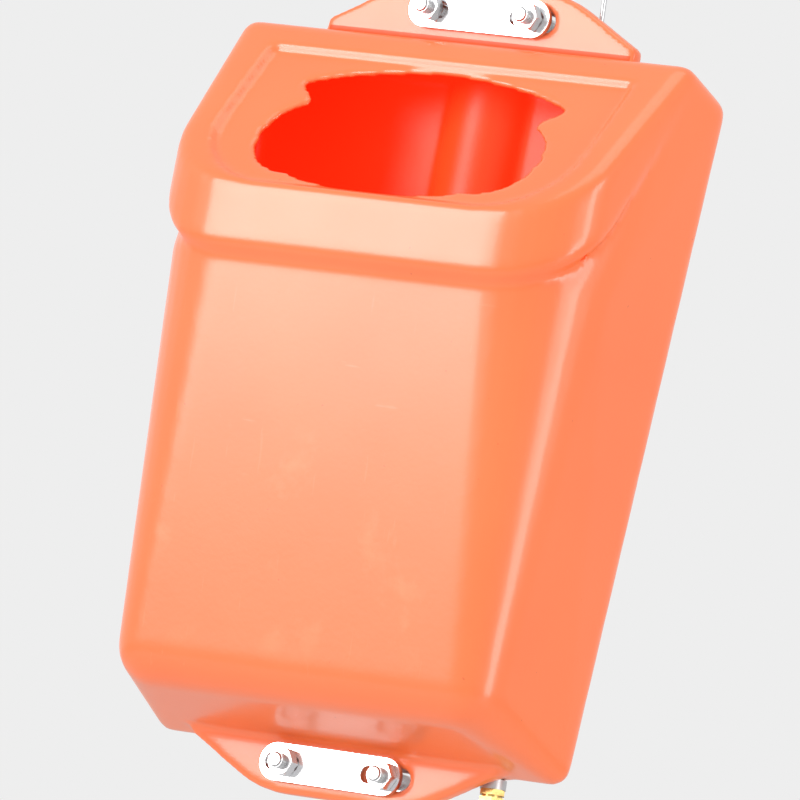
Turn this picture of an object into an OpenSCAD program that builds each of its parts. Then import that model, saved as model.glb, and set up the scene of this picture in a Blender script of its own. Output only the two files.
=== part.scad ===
// Holder for a position beacon: a hollow plastic pocket with a slanted, cut-open top,
// clamped to a vertical pole by two U-bolts, with a lifting rod in its rear right corner.
// Frame: the pole's axis is the Z axis, Z = 0 is midway between the clamps, -Y is the front.

/* [Pole and clamps] */
// Outside diameter of the pole
pole_d = 48.3; // [40:0.1:56]
// Height between the two rows of studs
clamp_spacing = 385; // [300:1:460]
// Diameter of the U-bolt rod
stud_d = 8; // [6:0.5:10]
// Clearance between a U-bolt's bend and the pole
bend_clearance = 0.85; // [0.4:0.05:1.5]
// How far a stud stands out of its nut
stud_proud = 5; // [2:0.5:12]
// Thickness of a hex nut
nut_t = 6.5; // [5:0.5:9]
// Width of a hex nut across its flats
nut_af = 13; // [12:0.5:16]

/* [Clamp plates] */
// Length of a front or back plate
plate_len = 82; // [76:1:100]
// Height of a front or back plate
plate_h = 19; // [15:1:26]
// Thickness of a front or back plate
plate_t = 3; // [2:0.5:5]
// Clearance between a plate's slot and a stud
slot_clearance = 0.5; // [0.3:0.1:1]
// Sideways travel of a front plate, each way from its middle
plate_travel = 4; // [2:0.5:5]
// Resting place of the upper front plate along X
upper_plate_shift = -1.4; // [-2:0.1:2]
// Resting place of the lower front plate along X
lower_plate_shift = -3.6; // [-3.9:0.1:3.9]

/* [Housing] */
// Width at the top of the rear edge
top_w = 273; // [240:1:300]
// Width at the bottom of the rear edge
bottom_w = 240; // [215:1:260]
// Width across the front shoulders
shoulder_w = 252; // [230:1:270]
// Width across the front at the bottom
toe_w = 224; // [200:1:236]
// Depth from the lug's front face to the front shoulder
shoulder_depth = 80; // [70:1:100]
// Height of the middle of the shoulder's round above the middle
shoulder_z = 50; // [40:1:60]
// Depth from the lug's front face to the front of the bottom
toe_depth = 62; // [50:1:80]
// Depth from the lug's front face back to the rear of the housing
rear_depth = 25; // [24:0.5:30]
// Height of the housing's rear edge above and below the middle
rear_top_z = 166; // [150:1:170]
// Height of the top ridge above the middle
ridge_z = 181; // [172:1:184]
// Depth of the rear bottom edge below the middle
rear_bottom_z = 183; // [176:1:188]
// Depth of the front bottom edge below the middle
toe_z = 169; // [150:1:172]
// Wall thickness
wall = 3.5; // [2.5:0.25:4.5]
// Clearance between the pole and its channel
channel_clearance = 0.25; // [0.1:0.05:0.6]
// Radius of the rear and ridge edges
edge_r = 9; // [7:0.5:12]
// Radius of the front shoulders in plan
shoulder_r = 50; // [35:1:60]
// Radius of the bottom front corners
toe_r = 22; // [14:1:30]

/* [Slanted top] */
// Slope of the top face from level
slope = 51.9; // [45:0.1:58]
// Height of the border above the recessed face
border_h = 3.5; // [2:0.25:5]
// Depth of the recess's rear edge in front of the lug
recess_depth = 19.2; // [16:0.2:22]
// Height of the recess's rear edge above the middle
recess_z = 161; // [155:0.5:163]
// Width of the recess
recess_w = 212; // [190:1:216]
// Length of the recess down the slope
recess_len = 98.5; // [97:0.5:101]
// Radius of the recess's front corners
recess_r = 45; // [30:1:50]
// Radius of the rim's edge
rim_edge_r = 8; // [7:0.5:9]
// How far the collar stands out from the front panel
collar_proud = 5; // [3:0.5:7]
// Height of the collar's band under the rim
collar_h = 26; // [20:1:32]

/* [Opening] */
// Width of the front part of the opening
mouth_w = 160; // [130:1:168]
// Distance down the slope to the front part's rear edge
mouth_start = 33; // [28:1:40]
// Distance down the slope to the front of the corner arcs
mouth_end = 87; // [80:1:90]
// Radius of the front part's corners
mouth_r = 26; // [20:1:27]
// How far the front edge bulges past the corner arcs
mouth_bulge = 8; // [4:0.5:9]
// Width of the rear part between its tips
throat_w = 153; // [130:1:160]
// Distance down the slope to the rear part's tips
throat_tip = 20.5; // [16:0.5:24]
// Distance down the slope to the rear part's rear edge
throat_start = 4.7; // [3:0.1:10]
// Width between the two nibs
nib_w = 132; // [110:1:140]

/* [Lugs] */
// Thickness of a lug
lug_t = 9; // [7:0.5:12]
// Width of a lug at its root
lug_root_w = 181; // [160:1:200]
// Width between the crossings of a lug's sides and its outer edge
lug_tip_w = 90; // [60:1:110]
// Height at which a lug's sides start to slant
lug_side_z = 183; // [176:0.5:190]
// Height of a lug's outer edge above or below the middle
lug_z = 207.5; // [204:0.5:216]
// Radius where a lug's sides meet its outer edge
lug_corner_r = 60; // [40:1:70]
// Length of a lug's slots
lug_slot_len = 24; // [18:1:28]
// Height of a lug's slots
lug_slot_h = 11; // [9:0.5:13]

/* [Lifting rod] */
// Diameter of the rod
rod_d = 2.5; // [2:0.1:4]
// Lift of the rod
rod_lift = 12; // [6:1:20]
// Radial running clearance of the rod in its guides
rod_clearance = 0.07; // [0.03:0.01:0.1]
// Lean of the rod from upright
rod_lean = 3.2; // [0:0.1:4]
// Place of the brass fitting along X
rod_x = 79.7; // [70:0.1:90]
// Distance of the rod behind the lug's front face
rod_behind = 15.8; // [13.5:0.1:16]
// Width of the brass fitting across its flats
fitting_af = 12; // [10:0.5:14]
// Width of the brass lock nut across its flats
lock_nut_af = 11; // [9.5:0.5:11]
// Height of the brass fitting's hex
fitting_h = 9; // [6:0.5:12]
// Radius of the fitting's threaded shank
shank_r = 4; // [3:0.1:5]
// Height of the grey washer above the fitting
washer_h = 5; // [2:0.5:8]
// Radius of the grey washer
washer_r = 6.5; // [6:0.5:8]
// Height of a collar on the rod
rod_collar_h = 6; // [4:0.5:8]
// Radius of the middle of the pull ring's wire
ring_r = 8; // [7:0.5:12]

/* [Hidden] */

orange = [1.0, 0.42, 0.16];
steel = [0.80, 0.81, 0.82];
brass = [0.78, 0.62, 0.30];
grey = [0.62, 0.63, 0.64];

face_gap = 0.15;          // between a sliding plate and the faces beside it
thread_gap = 0.05;        // between a nut and its thread
cut = 1;                  // how far a cut runs past a face
fine = 96;                // segments of a large round
medium = 48;              // segments of a fastener's round
hull_fn = 32;             // segments of a round inside a hull
lug_steps = 8;            // segments of a lug's rounded corner

pole_r = pole_d / 2;
channel_r = pole_r + channel_clearance;
back_plate_rear_y = -(pole_r + face_gap);
lug_rear_y = back_plate_rear_y - plate_t;
lug_front_y = lug_rear_y - lug_t;
front_plate_y = lug_front_y - face_gap - plate_t;
nut_y = front_plate_y - face_gap - nut_t;
stud_end_y = nut_y - stud_proud;
stud_x = pole_r + bend_clearance + stud_d / 2;
clamp_z = clamp_spacing / 2;
plate_slot_r = stud_d / 2 + slot_clearance;
plate_slot_len = 2 * (plate_slot_r + plate_travel + slot_clearance);
rear_y = lug_front_y + rear_depth;
shoulder_y = lug_front_y - shoulder_depth;
toe_y = lug_front_y - toe_depth;
slope_y = lug_front_y - recess_depth;
rim_s = (slope_y - (shoulder_y - collar_proud)) / cos(slope);
ridge_s = (ridge_z - edge_r - recess_z) / sin(slope) - 2;
fitting_z = -(rear_bottom_z + 1.5);
boss_h = 12;              // height of the housing's lower boss, inside
lock_nut_t = 4;
groove_w = 1.2;           // width of the groove round the brass fitting
groove_depth = 0.8;
top_boss_start = (rear_top_z - fitting_z) / cos(rod_lean) - 7;
top_boss_h = 12;
bush_r = 3;
bush_flange_r = 5.5;
bush_flange_t = 1.5;
rod_below = 20;
rod_above = 400;

// A pair of balls, mirrored left and right.
module ball_pair(half_w, y, z, r)
    for (side = [-1, 1]) translate([side * half_w, y, z]) sphere(r, $fn = hull_fn);

// A pair of rings with a rounded edge, mirrored left and right.
module ring_pair(half_w, y, z, r, ring_edge)
    for (side = [-1, 1]) translate([side * half_w, y, z])
        rotate_extrude($fn = hull_fn) translate([r - ring_edge, 0]) circle(ring_edge, $fn = 16);

// The slanted face's own frame: Y up the slope, Z out of the face.
module on_slope(drop = 0)
    translate([0, slope_y, recess_z]) rotate([slope, 0, 0]) translate([0, 0, -drop]) children();

module ridge_balls(inset, drop)
    on_slope(drop) ball_pair(top_w / 2 - edge_r - 4, ridge_s, border_h - edge_r, edge_r - inset);

// The body from the shoulders down, drawn in from its outside by inset.
module body_form(inset, drop) hull() {
    ridge_balls(inset, drop);
    ball_pair(top_w / 2 - edge_r, rear_y - edge_r, rear_top_z - edge_r, edge_r - inset);
    ball_pair(bottom_w / 2 - edge_r, rear_y - edge_r, edge_r - rear_bottom_z, edge_r - inset);
    ball_pair(toe_w / 2 - toe_r, toe_y + toe_r, toe_r - toe_z, toe_r - inset);
    ring_pair(shoulder_w / 2 - shoulder_r, shoulder_y + shoulder_r, shoulder_z,
              shoulder_r - inset, edge_r - inset);
}

// The collar and the slanted top above it, drawn in from their outside by inset.
module collar_form(inset, drop) hull() {
    ridge_balls(inset, drop);
    on_slope(drop) ring_pair(shoulder_w / 2 - shoulder_r, shoulder_r - rim_s,
                             border_h - rim_edge_r, shoulder_r - inset, rim_edge_r - inset);
    translate([0, 0, -collar_h]) on_slope(drop)
        ring_pair(shoulder_w / 2 - shoulder_r, shoulder_r - rim_s,
                  border_h - rim_edge_r, shoulder_r - inset, rim_edge_r - inset);
}

// Outline of the recess, with its rear edge on the X axis.
module recess_outline() {
    front = -recess_len + recess_r;
    side = recess_w / 2 - recess_r;
    translate([-recess_w / 2, front]) square([recess_w, -front]);
    translate([-side, -recess_len]) square([2 * side, recess_len]);
    for (x = [-side, side]) translate([x, front]) circle(recess_r, $fn = fine);
}

// A circle through (0, crown) and (+-half_chord, crown + rise), as seen down the slope.
module wide_arc(half_chord, crown, rise) {
    r = (half_chord * half_chord + rise * rise) / (2 * abs(rise));
    translate([0, -(crown + sign(rise) * r)]) circle(r, $fn = 360);
}

// The throat's slanting sides, which run from the nibs out past the rear edge's arc.
module throat_wedge() {
    tip_x = throat_w / 2 + 0.3 * (throat_w - nib_w) / 2;
    tip_s = throat_tip - 0.3 * (mouth_start - 1 - throat_tip);
    polygon([[-tip_x, 0], [tip_x, 0], [tip_x, -tip_s], [nib_w / 2, 1 - mouth_start],
             [nib_w / 2, -mouth_start - 6], [-nib_w / 2, -mouth_start - 6],
             [-nib_w / 2, 1 - mouth_start], [-tip_x, -tip_s]]);
}

// Outline of the opening: a broad mouth at the front and a shallow throat behind two nibs.
module opening_outline() {
    corner_x = mouth_w / 2 - mouth_r;
    for (x = [-corner_x, corner_x], s = [mouth_start + mouth_r, mouth_end - mouth_r])
        translate([x, -s]) circle(mouth_r, $fn = fine);
    translate([-corner_x, -mouth_end]) square([2 * corner_x, mouth_end - mouth_start]);
    translate([-mouth_w / 2, mouth_r - mouth_end])
        square([mouth_w, mouth_end - mouth_start - 2 * mouth_r]);
    intersection() {
        wide_arc(corner_x, mouth_end + mouth_bulge, -mouth_bulge);
        translate([-corner_x, -mouth_end - mouth_bulge])
            square([2 * corner_x, mouth_bulge + mouth_r]);
    }
    intersection() {
        wide_arc(throat_w / 2, throat_start, throat_tip - throat_start);
        throat_wedge();
    }
}

// A slot along X, centred on the origin.
module slot_outline(length, r) {
    translate([r - length / 2, -r]) square([length - 2 * r, 2 * r]);
    for (side = [-1, 1]) translate([side * (length / 2 - r), 0]) circle(r, $fn = medium);
}

// Turns an outline in X and Y into a plate in X and Z, from y back to y + t.
module upright(y, t) translate([0, y + t, 0]) rotate([90, 0, 0]) linear_extrude(t) children();

// The right half of the upper lug's outline, its side and outer edge joined by a round.
module lug_half() {
    turn = atan((lug_z - lug_side_z) / ((lug_root_w - lug_tip_w) / 2));
    round_x = lug_tip_w / 2 - lug_corner_r * tan(turn / 2);
    round_z = lug_z - lug_corner_r;
    polygon(concat(
        [[0, rear_top_z], [lug_root_w / 2, rear_top_z], [lug_root_w / 2, lug_side_z]],
        [for (i = [0:lug_steps]) let (a = 90 - turn * (1 - i / lug_steps))
            [round_x + lug_corner_r * cos(a), round_z + lug_corner_r * sin(a)]],
        [[0, lug_z]]));
}

module lug_outline() {
    lug_half();
    mirror([1, 0]) lug_half();
}

module lug() difference() {
    upright(lug_front_y, lug_t) lug_outline();
    for (side = [-1, 1])
        upright(lug_front_y - cut, lug_t + 2 * cut)
            translate([side * stud_x, clamp_z]) slot_outline(lug_slot_len, lug_slot_h / 2);
}

// The rod's own frame: Z up along the rod, from the washer's seat.
module on_rod() translate([rod_x, lug_front_y + rod_behind, fitting_z]) rotate([0, -rod_lean, 0]) children();

module tube(start, height, r, bore_r) translate([0, 0, start]) difference() {
    cylinder(h = height, r = r, $fn = medium);
    translate([0, 0, -cut]) cylinder(h = height + 2 * cut, r = bore_r, $fn = medium);
}

module hex_block(start, height, flats) translate([0, 0, start]) intersection() {
    cylinder(h = height, d = flats / cos(30), $fn = 6);
    cylinder(h = height, r1 = flats / 2 + 0.3, r2 = flats / 2 + 0.3 + height, $fn = medium);
    cylinder(h = height, r1 = flats / 2 + 0.3 + height, r2 = flats / 2 + 0.3, $fn = medium);
}

module housing() color(orange) difference() {
    union() {
        difference() {
            union() {
                body_form(0, 0);
                collar_form(0, 0);
            }
            difference() {
                union() {
                    body_form(wall, border_h);
                    collar_form(wall, border_h);
                }
                cylinder(h = 2 * lug_z, r = channel_r + wall, center = true, $fn = fine);
            }
            on_slope() linear_extrude(4 * border_h) recess_outline();
            on_slope() translate([0, 0, -2 * wall]) linear_extrude(4 * wall) opening_outline();
        }
        lug();
        mirror([0, 0, 1]) lug();
        on_rod() cylinder(h = boss_h, r = washer_r + 1.5, $fn = medium);
        on_rod() translate([0, 0, top_boss_start])
            cylinder(h = top_boss_h, r = bush_flange_r + 1, $fn = medium);
    }
    cylinder(h = 2 * lug_z + 2 * cut, r = channel_r, center = true, $fn = fine);
    on_rod() translate([0, 0, -cut]) cylinder(h = boss_h + 2 * cut, r = shank_r + thread_gap, $fn = medium);
    on_rod() translate([0, 0, top_boss_start - cut])
        cylinder(h = top_boss_h + 2 * cut, r = bush_r + thread_gap, $fn = medium);
}

// A plate with two slots for the studs, its front face at y.
module clamp_plate(y, z, x) color(steel) translate([x, 0, z]) upright(y, plate_t) difference() {
    slot_outline(plate_len, plate_h / 2);
    for (side = [-1, 1])
        translate([side * (stud_x - 1), 0]) slot_outline(plate_slot_len + 2, plate_slot_r);
}

module upper_front_plate() clamp_plate(front_plate_y, clamp_z, upper_plate_shift);
module lower_front_plate() clamp_plate(front_plate_y, -clamp_z, lower_plate_shift);
module upper_back_plate() clamp_plate(lug_rear_y, clamp_z, 0);
module lower_back_plate() clamp_plate(lug_rear_y, -clamp_z, 0);

module u_bolt(z) color(steel) translate([0, 0, z]) {
    rotate_extrude(angle = 180, $fn = fine) translate([stud_x, 0]) circle(d = stud_d, $fn = medium);
    for (side = [-1, 1]) translate([side * stud_x, 0, 0]) rotate([90, 0, 0]) {
        cylinder(h = -stud_end_y - 1, d = stud_d, $fn = medium);
        translate([0, 0, -stud_end_y - 1]) cylinder(h = 1, d1 = stud_d, d2 = stud_d - 2, $fn = medium);
    }
}

module upper_u_bolt() u_bolt(clamp_z);
module lower_u_bolt() u_bolt(-clamp_z);

module nut(x, z) color(steel) translate([x, nut_y + nut_t, z]) rotate([90, 0, 0]) difference() {
    hex_block(0, nut_t, nut_af);
    translate([0, 0, -cut]) cylinder(h = nut_t + 2 * cut, d = stud_d + 2 * thread_gap, $fn = medium);
}

module upper_left_nut() nut(-stud_x, clamp_z);
module upper_right_nut() nut(stud_x, clamp_z);
module lower_left_nut() nut(-stud_x, -clamp_z);
module lower_right_nut() nut(stud_x, -clamp_z);

module lift_rod() color(steel) on_rod() translate([0, 0, -rod_below])
    cylinder(h = rod_below + rod_above, d = rod_d, $fn = medium);

module rod_pull_ring() color(steel) on_rod() {
    translate([0, 0, rod_above + ring_r + rod_d / 2]) rotate([90, 0, 0])
        rotate_extrude($fn = fine) translate([ring_r, 0]) circle(d = rod_d, $fn = medium);
}

// The rod's collar that meets the top bush when the rod is lifted all the way.
module rod_upper_collar() color(steel) on_rod()
    tube(top_boss_start - face_gap - rod_lift - rod_collar_h, rod_collar_h, shank_r, rod_d / 2);

// The rod's collar that rests on the brass lock nut.
module rod_lower_collar() color(steel) on_rod()
    tube(boss_h + lock_nut_t + face_gap, rod_collar_h, shank_r, rod_d / 2);

module rod_top_bush() color(grey) on_rod() difference() {
    union() {
        translate([0, 0, top_boss_start]) cylinder(h = top_boss_h, r = bush_r, $fn = medium);
        translate([0, 0, top_boss_start + top_boss_h])
            cylinder(h = bush_flange_t, r = bush_flange_r, $fn = medium);
    }
    translate([0, 0, top_boss_start - cut])
        cylinder(h = top_boss_h + bush_flange_t + 2 * cut, r = rod_d / 2 + rod_clearance, $fn = medium);
}

module brass_fitting() color(brass) on_rod() difference() {
    union() {
        hex_block(-washer_h - fitting_h, fitting_h, fitting_af);
        translate([0, 0, -washer_h]) cylinder(h = washer_h + boss_h + lock_nut_t, r = shank_r, $fn = medium);
    }
    translate([0, 0, -washer_h - fitting_h - cut])
        cylinder(h = washer_h + fitting_h + boss_h + lock_nut_t + 2 * cut,
                 r = rod_d / 2 + rod_clearance, $fn = medium);
    translate([0, 0, -washer_h - fitting_h * 0.45]) difference() {
        cylinder(h = groove_w, r = fitting_af, $fn = medium);
        translate([0, 0, -cut])
            cylinder(h = groove_w + 2 * cut, r = fitting_af / 2 - groove_depth, $fn = medium);
    }
}

module brass_lock_nut() color(brass) on_rod() difference() {
    hex_block(boss_h, lock_nut_t, lock_nut_af);
    translate([0, 0, boss_h - cut])
        cylinder(h = lock_nut_t + 2 * cut, r = shank_r + thread_gap, $fn = medium);
}

module fitting_washer() color(grey) on_rod() tube(-washer_h, washer_h, washer_r, shank_r + thread_gap);

housing();
upper_front_plate();
lower_front_plate();
upper_back_plate();
lower_back_plate();
upper_u_bolt();
lower_u_bolt();
upper_left_nut();
upper_right_nut();
lower_left_nut();
lower_right_nut();
lift_rod();
rod_pull_ring();
rod_upper_collar();
rod_lower_collar();
rod_top_bush();
brass_fitting();
brass_lock_nut();
fitting_washer();
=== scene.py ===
from math import cos, pi, radians, sin

import bmesh
import bpy
from mathutils import Matrix, Vector


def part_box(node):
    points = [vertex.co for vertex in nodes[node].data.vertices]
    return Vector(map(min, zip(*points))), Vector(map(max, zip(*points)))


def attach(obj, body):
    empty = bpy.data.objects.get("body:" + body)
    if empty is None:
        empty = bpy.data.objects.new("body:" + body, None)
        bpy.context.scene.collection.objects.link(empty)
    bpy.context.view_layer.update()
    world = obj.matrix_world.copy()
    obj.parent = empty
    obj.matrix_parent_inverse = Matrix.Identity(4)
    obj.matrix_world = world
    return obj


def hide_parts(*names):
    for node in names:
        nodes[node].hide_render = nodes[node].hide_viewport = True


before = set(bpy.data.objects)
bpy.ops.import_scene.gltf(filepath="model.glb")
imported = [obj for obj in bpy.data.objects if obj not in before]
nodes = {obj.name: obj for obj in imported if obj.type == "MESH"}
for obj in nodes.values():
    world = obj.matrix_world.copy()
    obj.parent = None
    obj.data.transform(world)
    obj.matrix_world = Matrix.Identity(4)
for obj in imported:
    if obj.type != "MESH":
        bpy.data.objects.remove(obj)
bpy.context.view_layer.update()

# ---------------------------------------------------------------- camera

AZIMUTH = radians(31.7)          # the camera stands to the right of the front
ELEVATION = radians(-6.1)        # and a little below the middle
ROLL = radians(10.9)             # the holder's top leans right in the view
DISTANCE = 5.89                  # metres, a long lens from far away
SENSOR = 36.0
LENS = 533.0
FAR_CLIP = 50
AIM_BELOW = 0.0042               # the view's centre, from the midpoint between the lugs
AIM_LEFT = 0.0058
LUG_THICKNESS = 0.009


def lug_front():
    """The front face of the lugs, a lug's thickness in front of the back plates."""
    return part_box("upper_back_plate")[0].y - LUG_THICKNESS


def make_camera():
    right = Vector((cos(AZIMUTH), sin(AZIMUTH), 0))
    ahead = Vector((-sin(AZIMUTH) * cos(ELEVATION), cos(AZIMUTH) * cos(ELEVATION), -sin(ELEVATION)))
    up = right.cross(ahead)
    across = right * cos(ROLL) + up * sin(ROLL)
    upward = up * cos(ROLL) - right * sin(ROLL)
    data = bpy.data.cameras.new("camera")
    data.sensor_width = SENSOR
    data.lens = LENS
    data.clip_end = FAR_CLIP
    camera = bpy.data.objects.new("camera", data)
    place = Vector((0, lug_front(), 0)) - ahead * DISTANCE - across * AIM_LEFT - upward * AIM_BELOW
    turn = Matrix((across, upward, -ahead)).transposed().to_4x4()
    camera.matrix_world = Matrix.Translation(place) @ turn
    bpy.context.scene.collection.objects.link(camera)
    bpy.context.scene.camera = camera


# ---------------------------------------------------------------- shader maths

class Wire:
    """A node's output that Python's own operators can work on."""

    def __init__(self, shader, socket):
        self.shader = shader
        self.socket = socket

    def _math(self, operation, *others):
        values = dict(enumerate((self,) + others))
        return self.shader.node("ShaderNodeMath", {"operation": operation}, values)

    def __add__(self, other):
        return self._math("ADD", other)

    def __sub__(self, other):
        return self._math("SUBTRACT", other)

    def __mul__(self, other):
        return self._math("MULTIPLY", other)

    def __truediv__(self, other):
        return self._math("DIVIDE", other)

    def __rsub__(self, other):
        return (self * -1.0) + other

    __radd__ = __add__
    __rmul__ = __mul__

    def sine(self):
        return self._math("SINE")

    def larger(self, other):
        return self._math("MAXIMUM", other)

    def clamp(self, low, high):
        return self.larger(low)._math("MINIMUM", high)

    def ramp(self, *stops):
        """Greys at places along this value."""
        return self.shader.node("ShaderNodeValToRGB", {"stops": stops}, {0: self})


class Shader:
    """The nodes of one material or world, made by short calls."""

    def __init__(self, owner):
        owner.use_nodes = True
        self.owner = owner
        self.tree = owner.node_tree

    def node(self, kind, settings, values, output=0):
        """A new node: its settings and ramp stops first, then its sockets."""
        made = self.tree.nodes.new(kind)
        for key, value in settings.items():
            if key == "stops":
                set_stops(made.color_ramp.elements, value)
            else:
                setattr(made, key, value)
        for key, value in values.items():
            self.feed(made.inputs[key], value)
        return Wire(self, made.outputs[output])

    def feed(self, socket, value):
        if isinstance(value, Wire):
            self.tree.links.new(value.socket, socket)
        else:
            socket.default_value = value

    def place(self):
        return self.node("ShaderNodeTexCoord", {}, {}, "Object")

    def stretch(self, scale):
        return self.node("ShaderNodeMapping", {}, {"Vector": self.place(), "Scale": scale})

    def noise(self, scale, detail=3.0, rough=0.5, at=None):
        values = {"Vector": at or self.place(), "Scale": scale, "Detail": detail, "Roughness": rough}
        return self.node("ShaderNodeTexNoise", {}, values)

    def axis(self, name):
        return self.node("ShaderNodeSeparateXYZ", {}, {"Vector": self.place()}, name)

    def mix(self, factor, first, second):
        values = {0: factor, 6: first, 7: second}
        return self.node("ShaderNodeMix", {"data_type": "RGBA"}, values, 2)

    def bump(self, height, strength, distance):
        values = {"Height": height, "Strength": strength, "Distance": distance}
        return self.node("ShaderNodeBump", {}, values)

    def finish(self, **sockets):
        surface = self.tree.nodes["Principled BSDF"]
        for key, value in sockets.items():
            self.feed(surface.inputs[key.replace("_", " ")], value)
        return self.owner


def set_stops(elements, stops):
    """Put a ramp's two stops at their places, each a grey."""
    for element, (at, grey) in zip(elements, stops):
        element.position = at
        element.color = (grey, grey, grey, 1)


def material_shader(name):
    return Shader(bpy.data.materials.new(name))


# ---------------------------------------------------------------- finishes

ORANGE = (1.0, 0.200, 0.056, 1)
ORANGE_DEEP = (0.97, 0.165, 0.040, 1)
ORANGE_RUBBED = (1.0, 0.40, 0.19, 1)
# the pocket's inside walls: the same plastic in a deeper red, painted shade standing for the light
# bounced and caught inside
INSIDE_PAINTED_SHADE = (1.0, 0.095, 0.018, 1)
INSIDE_DEEP_PAINTED_SHADE = (0.97, 0.075, 0.012, 1)
# a painted glow: the inside is lit by emission, standing for the light let through the thin walls
PAINTED_GLOW = (1.0, 0.022, 0.003, 1)
SPECK = (0.35, 0.07, 0.02, 1)
PLASTIC_IOR = 1.5

# where the front panel is worn, each as its low end, its high end and how softly it fades
PANEL_X = (-0.085, 0.075, 0.02)
PANEL_Y = (-0.13, -0.094, 0.004)
PANEL_Z = (-0.15, 0.03, 0.02)
PATCH_Z = (-0.125, -0.055, 0.03)
DASH_Z = (-0.05, 0.03, 0.02)

# how a fine noise is drawn out into lines or dashes
SCRATCH_STRETCH = (1.0, 1.0, 0.03)
DASH_STRETCH = (0.25, 1.0, 1.6)


def band(value, low, high, soft):
    """1 where value lies between low and high, fading over soft."""
    rise = ((value - (low - soft)) / soft).clamp(0, 1)
    fall = (((high + soft) - value) / soft).clamp(0, 1)
    return rise * fall


def orange_plastic(name="orange_plastic", body=ORANGE, deep=ORANGE_DEEP, coat=0.55, shine=0.5, painted_glow=0.0):
    """The moulding's plastic; its glow argument is painted light, an emission standing for the light
    that its thin walls let through to the inside.
    """
    s = material_shader(name)
    z = s.axis("Z")
    colour = s.mix(s.noise(9, 4).ramp((0.35, 0.0), (0.75, 0.55)), body, deep)

    # rubbed patches, upright scratches and short dashes on the front panel
    panel = band(z, *PANEL_Z) * band(s.axis("X"), *PANEL_X) * band(s.axis("Y"), *PANEL_Y)
    patch = s.noise(26, 6, 0.65).ramp((0.56, 0.0), (0.74, 1.0)) * band(z, *PATCH_Z)
    lines = s.noise(330, 2, 0.5, s.stretch(SCRATCH_STRETCH)).ramp((0.69, 0.0), (0.74, 1.0))
    dashes = s.noise(120, 2, 0.5, s.stretch(DASH_STRETCH)).ramp((0.72, 0.0), (0.76, 1.0))
    wear = (patch * 0.30 + lines * 0.12 + dashes * 0.20 * band(z, *DASH_Z)) * panel
    colour = s.mix(wear.clamp(0, 1), colour, ORANGE_RUBBED)

    # a faint darker speck here and there
    speck = s.noise(260, 1).ramp((0.79, 0.0), (0.82, 1.0))
    colour = s.mix(speck * 0.35, colour, SPECK)

    # a fine orange peel over slow waves, with the scratches cut into it
    peel = s.noise(420, 2, 0.5)
    waves = s.noise(60, 2, 0.4)
    height = peel * 0.45 + waves * 0.55 + lines * panel * 0.25
    rough = s.noise(30, 5, 0.6) * 0.10 + 0.30 + wear * 0.12
    # the emission below is a painted glow, not a lamp
    return s.finish(Base_Color=colour, Roughness=rough, IOR=PLASTIC_IOR, Specular_IOR_Level=shine,
                    Coat_Weight=coat, Coat_Roughness=0.16,
                    Emission_Color=PAINTED_GLOW, Emission_Strength=painted_glow, Normal=s.bump(height, 0.14, 0.0009))


THREAD_PITCH = 0.00125
THREAD_FADE = 0.001
THREAD_BEHIND_PLATE = 0.004
THREAD_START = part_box("upper_back_plate")[1].y + THREAD_BEHIND_PLATE


def thread_bump(s):
    """Ridges along Y, from the studs' ends back to THREAD_START."""
    ridges = (s.axis("Y") * (2 * pi / THREAD_PITCH)).sine()
    threaded = ((THREAD_START - s.axis("Y")) / THREAD_FADE).clamp(0, 1)
    return s.bump(ridges * threaded, 0.8, 0.0005)


def steel(name, grain, tint, base_rough, threaded=False):
    """Polished stainless with fine lines along one axis; grain is the noise's stretch."""
    s = material_shader(name)
    lines = s.noise(900, 3, 0.6, s.stretch(grain))
    smudge = s.noise(70, 4, 0.6)
    bright = (tint, tint, tint * 1.01, 1)
    dull = (tint * 0.80, tint * 0.80, tint * 0.82, 1)
    colour = s.mix(smudge.ramp((0.35, 0.0), (0.8, 0.8)), bright, dull)
    rough = lines * 0.12 + smudge * 0.12 + (base_rough - 0.08)
    normal = thread_bump(s) if threaded else s.bump(lines, 0.10, 0.0002)
    return s.finish(Base_Color=colour, Metallic=1.0, Roughness=rough, Normal=normal)


BRASS_BRIGHT = (0.72, 0.50, 0.18, 1)
BRASS_TARNISHED = (0.36, 0.22, 0.08, 1)
ZINC_DARK = (0.42, 0.43, 0.44, 1)
ZINC_LIGHT = (0.62, 0.63, 0.64, 1)
TURNED_STRETCH = (0.1, 0.1, 1.0)


def brass():
    s = material_shader("turned_brass")
    lines = s.noise(700, 3, 0.6, s.stretch(TURNED_STRETCH))
    tarnish = s.noise(160, 5, 0.65)
    colour = s.mix(tarnish.ramp((0.45, 0.0), (0.75, 1.0)), BRASS_BRIGHT, BRASS_TARNISHED)
    return s.finish(Base_Color=colour, Metallic=1.0, Roughness=lines * 0.15 + tarnish * 0.15 + 0.17,
                    Normal=s.bump(lines, 0.15, 0.0002))


def zinc_grey():
    s = material_shader("zinc_grey")
    grain = s.noise(300, 5, 0.6)
    colour = s.mix(grain, ZINC_DARK, ZINC_LIGHT)
    return s.finish(Base_Color=colour, Metallic=0.85, Roughness=grain * 0.2 + 0.3,
                    Normal=s.bump(grain, 0.12, 0.0002))


def dress(names, material):
    for name in names:
        data = nodes[name].data
        data.materials.clear()
        data.materials.append(material)


# ---------------------------------------------------------------- moulded housing

SKIN_STEP = 0.0019               # size of the moulded skin's mesh
SOFTENING = 9                    # smoothing passes that round the edges

SLOPE = radians(51.9)            # the slanted top's angle from level
TOP_OUT = Vector((0, -sin(SLOPE), cos(SLOPE)))
TOP_REAR = Vector((0, -0.0555, 0.161))
TOP_SKIN = 0.0022                # faces less than this under the slanted top are outside ones

POCKET_MIDDLE_Y = -0.065
POCKET_END_Z = 0.179             # faces further up or down than this are outside ones
MIDDLE_SHARE = 0.8               # the height of the point that a wall looks at, by its own


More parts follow.
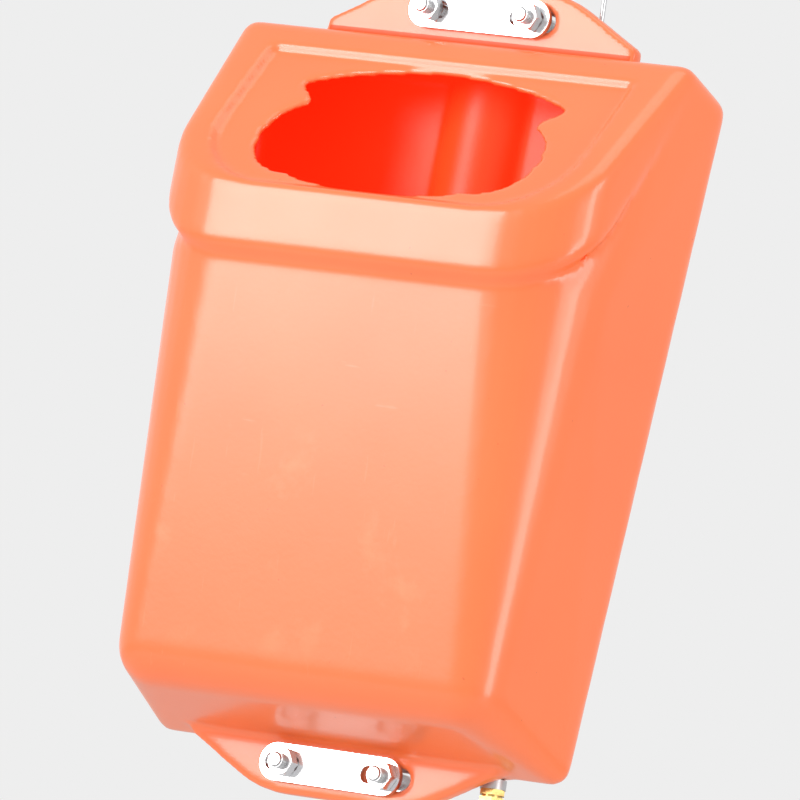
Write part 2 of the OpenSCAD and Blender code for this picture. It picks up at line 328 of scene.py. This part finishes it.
def is_inside(face):
    """True for a face of the pocket's own walls, which look towards its middle."""
    middle = Vector((0, POCKET_MIDDLE_Y, MIDDLE_SHARE * face.center.z))
    if (face.center - TOP_REAR).dot(TOP_OUT) > -TOP_SKIN:
        return False
    return face.normal.dot(middle - face.center) > 0 and abs(face.center.z) < POCKET_END_Z


def moulded_housing(skin_plastic, inner_painted_shade_plastic):
    """The housing with the soft edges of a blown moulding."""
    source = nodes["housing"]
    piece = bpy.data.objects.new("moulded_housing", source.data.copy())
    bpy.context.scene.collection.objects.link(piece)
    skin = piece.modifiers.new("skin", "REMESH")
    skin.mode = "VOXEL"
    skin.voxel_size = SKIN_STEP
    soften = piece.modifiers.new("soften", "SMOOTH")
    soften.factor = 0.5
    soften.iterations = SOFTENING
    held = piece.evaluated_get(bpy.context.evaluated_depsgraph_get())
    mesh = bpy.data.meshes.new_from_object(held)
    piece.modifiers.clear()
    piece.data = mesh
    mesh.materials.clear()
    mesh.materials.append(skin_plastic)
    mesh.materials.append(inner_painted_shade_plastic)
    mesh.polygons.foreach_set("use_smooth", [True] * len(mesh.polygons))
    # the pocket's inside faces take the copy of the plastic with painted shade and a painted glow
    mesh.polygons.foreach_set("material_index", [int(is_inside(face)) for face in mesh.polygons])
    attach(piece, "root")
    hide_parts("housing")


# ---------------------------------------------------------------- studio

BACKDROP = (0.855, 0.855, 0.855, 1)
WHITE = (1, 1, 1, 1)
WORLD_LIGHT = 0.58
FLOOR_Z = -0.95
FLOOR_REACH = 6


def area_light(name, place, target, width, height, power):
    data = bpy.data.lights.new(name, "AREA")
    data.shape = "RECTANGLE"
    data.size = width
    data.size_y = height
    data.energy = power
    lamp = bpy.data.objects.new(name, data)
    lamp.location = place
    lamp.rotation_euler = (Vector(target) - Vector(place)).to_track_quat("-Z", "Y").to_euler()
    bpy.context.scene.collection.objects.link(lamp)


def make_world():
    """A plain backdrop for the camera and for reflections, and a softer light for the rest."""
    world = bpy.data.worlds.new("studio")
    bpy.context.scene.world = world
    s = Shader(world)
    backdrop = s.tree.nodes["Background"]
    s.feed(backdrop.inputs["Color"], BACKDROP)
    s.feed(backdrop.inputs["Strength"], 1.0)
    light = s.node("ShaderNodeBackground", {}, {"Color": WHITE, "Strength": WORLD_LIGHT})
    camera_ray = s.node("ShaderNodeLightPath", {}, {}, "Is Camera Ray")
    glossy_ray = s.node("ShaderNodeLightPath", {}, {}, "Is Glossy Ray")
    seen = camera_ray.larger(glossy_ray)
    shown = Wire(s, backdrop.outputs[0])
    mixed = s.node("ShaderNodeMixShader", {}, {0: seen, 1: light, 2: shown})
    s.feed(s.tree.nodes["World Output"].inputs["Surface"], mixed)


def make_lights():
    area_light("key", place=(-1.25, -2.0, 0.55), target=(0, -0.1, 0), width=1.0, height=1.4, power=36)
    area_light("top", place=(0.2, -0.6, 2.0), target=(0, -0.05, 0), width=1.6, height=1.2, power=9)
    area_light("side", place=(2.2, -0.5, 0.2), target=(0, -0.05, 0), width=0.7, height=1.8, power=20)


def make_floor():
    grid = bmesh.new()
    bmesh.ops.create_grid(grid, x_segments=4, y_segments=4, size=FLOOR_REACH)
    mesh = bpy.data.meshes.new("floor")
    grid.to_mesh(mesh)
    grid.free()
    floor = bpy.data.objects.new("floor", mesh)
    floor.location.z = FLOOR_Z
    bpy.context.scene.collection.objects.link(floor)
    mesh.materials.append(material_shader("floor").finish(Base_Color=BACKDROP, Roughness=0.9))


# ---------------------------------------------------------------- the whole

bpy.context.scene.view_settings.view_transform = "Standard"
make_camera()
make_world()
make_lights()
make_floor()

ACROSS = (0.03, 1.0, 1.0)        # lines along X
UPRIGHT = (1.0, 1.0, 0.03)       # lines along Z

# the inside's copy of the plastic, deeper red and glowing: painted shade and painted glow
inner_painted_shade_plastic = orange_plastic("orange_inside_painted_shade", INSIDE_PAINTED_SHADE, INSIDE_DEEP_PAINTED_SHADE, coat=0.0, shine=0.3, painted_glow=0.5)
moulded_housing(orange_plastic(), inner_painted_shade_plastic)
dress(["upper_front_plate", "lower_front_plate", "upper_back_plate", "lower_back_plate"],
      steel("plate_steel", ACROSS, 0.90, 0.16))
dress(["upper_u_bolt", "lower_u_bolt"], steel("bolt_steel", ACROSS, 0.74, 0.24, threaded=True))
dress(["upper_left_nut", "upper_right_nut", "lower_left_nut", "lower_right_nut"],
      steel("nut_steel", ACROSS, 0.78, 0.18))
dress(["lift_rod", "rod_pull_ring", "rod_upper_collar", "rod_lower_collar"],
      steel("rod_steel", UPRIGHT, 0.62, 0.26))
dress(["brass_fitting", "brass_lock_nut"], brass())
dress(["rod_top_bush", "fitting_washer"], zinc_grey())
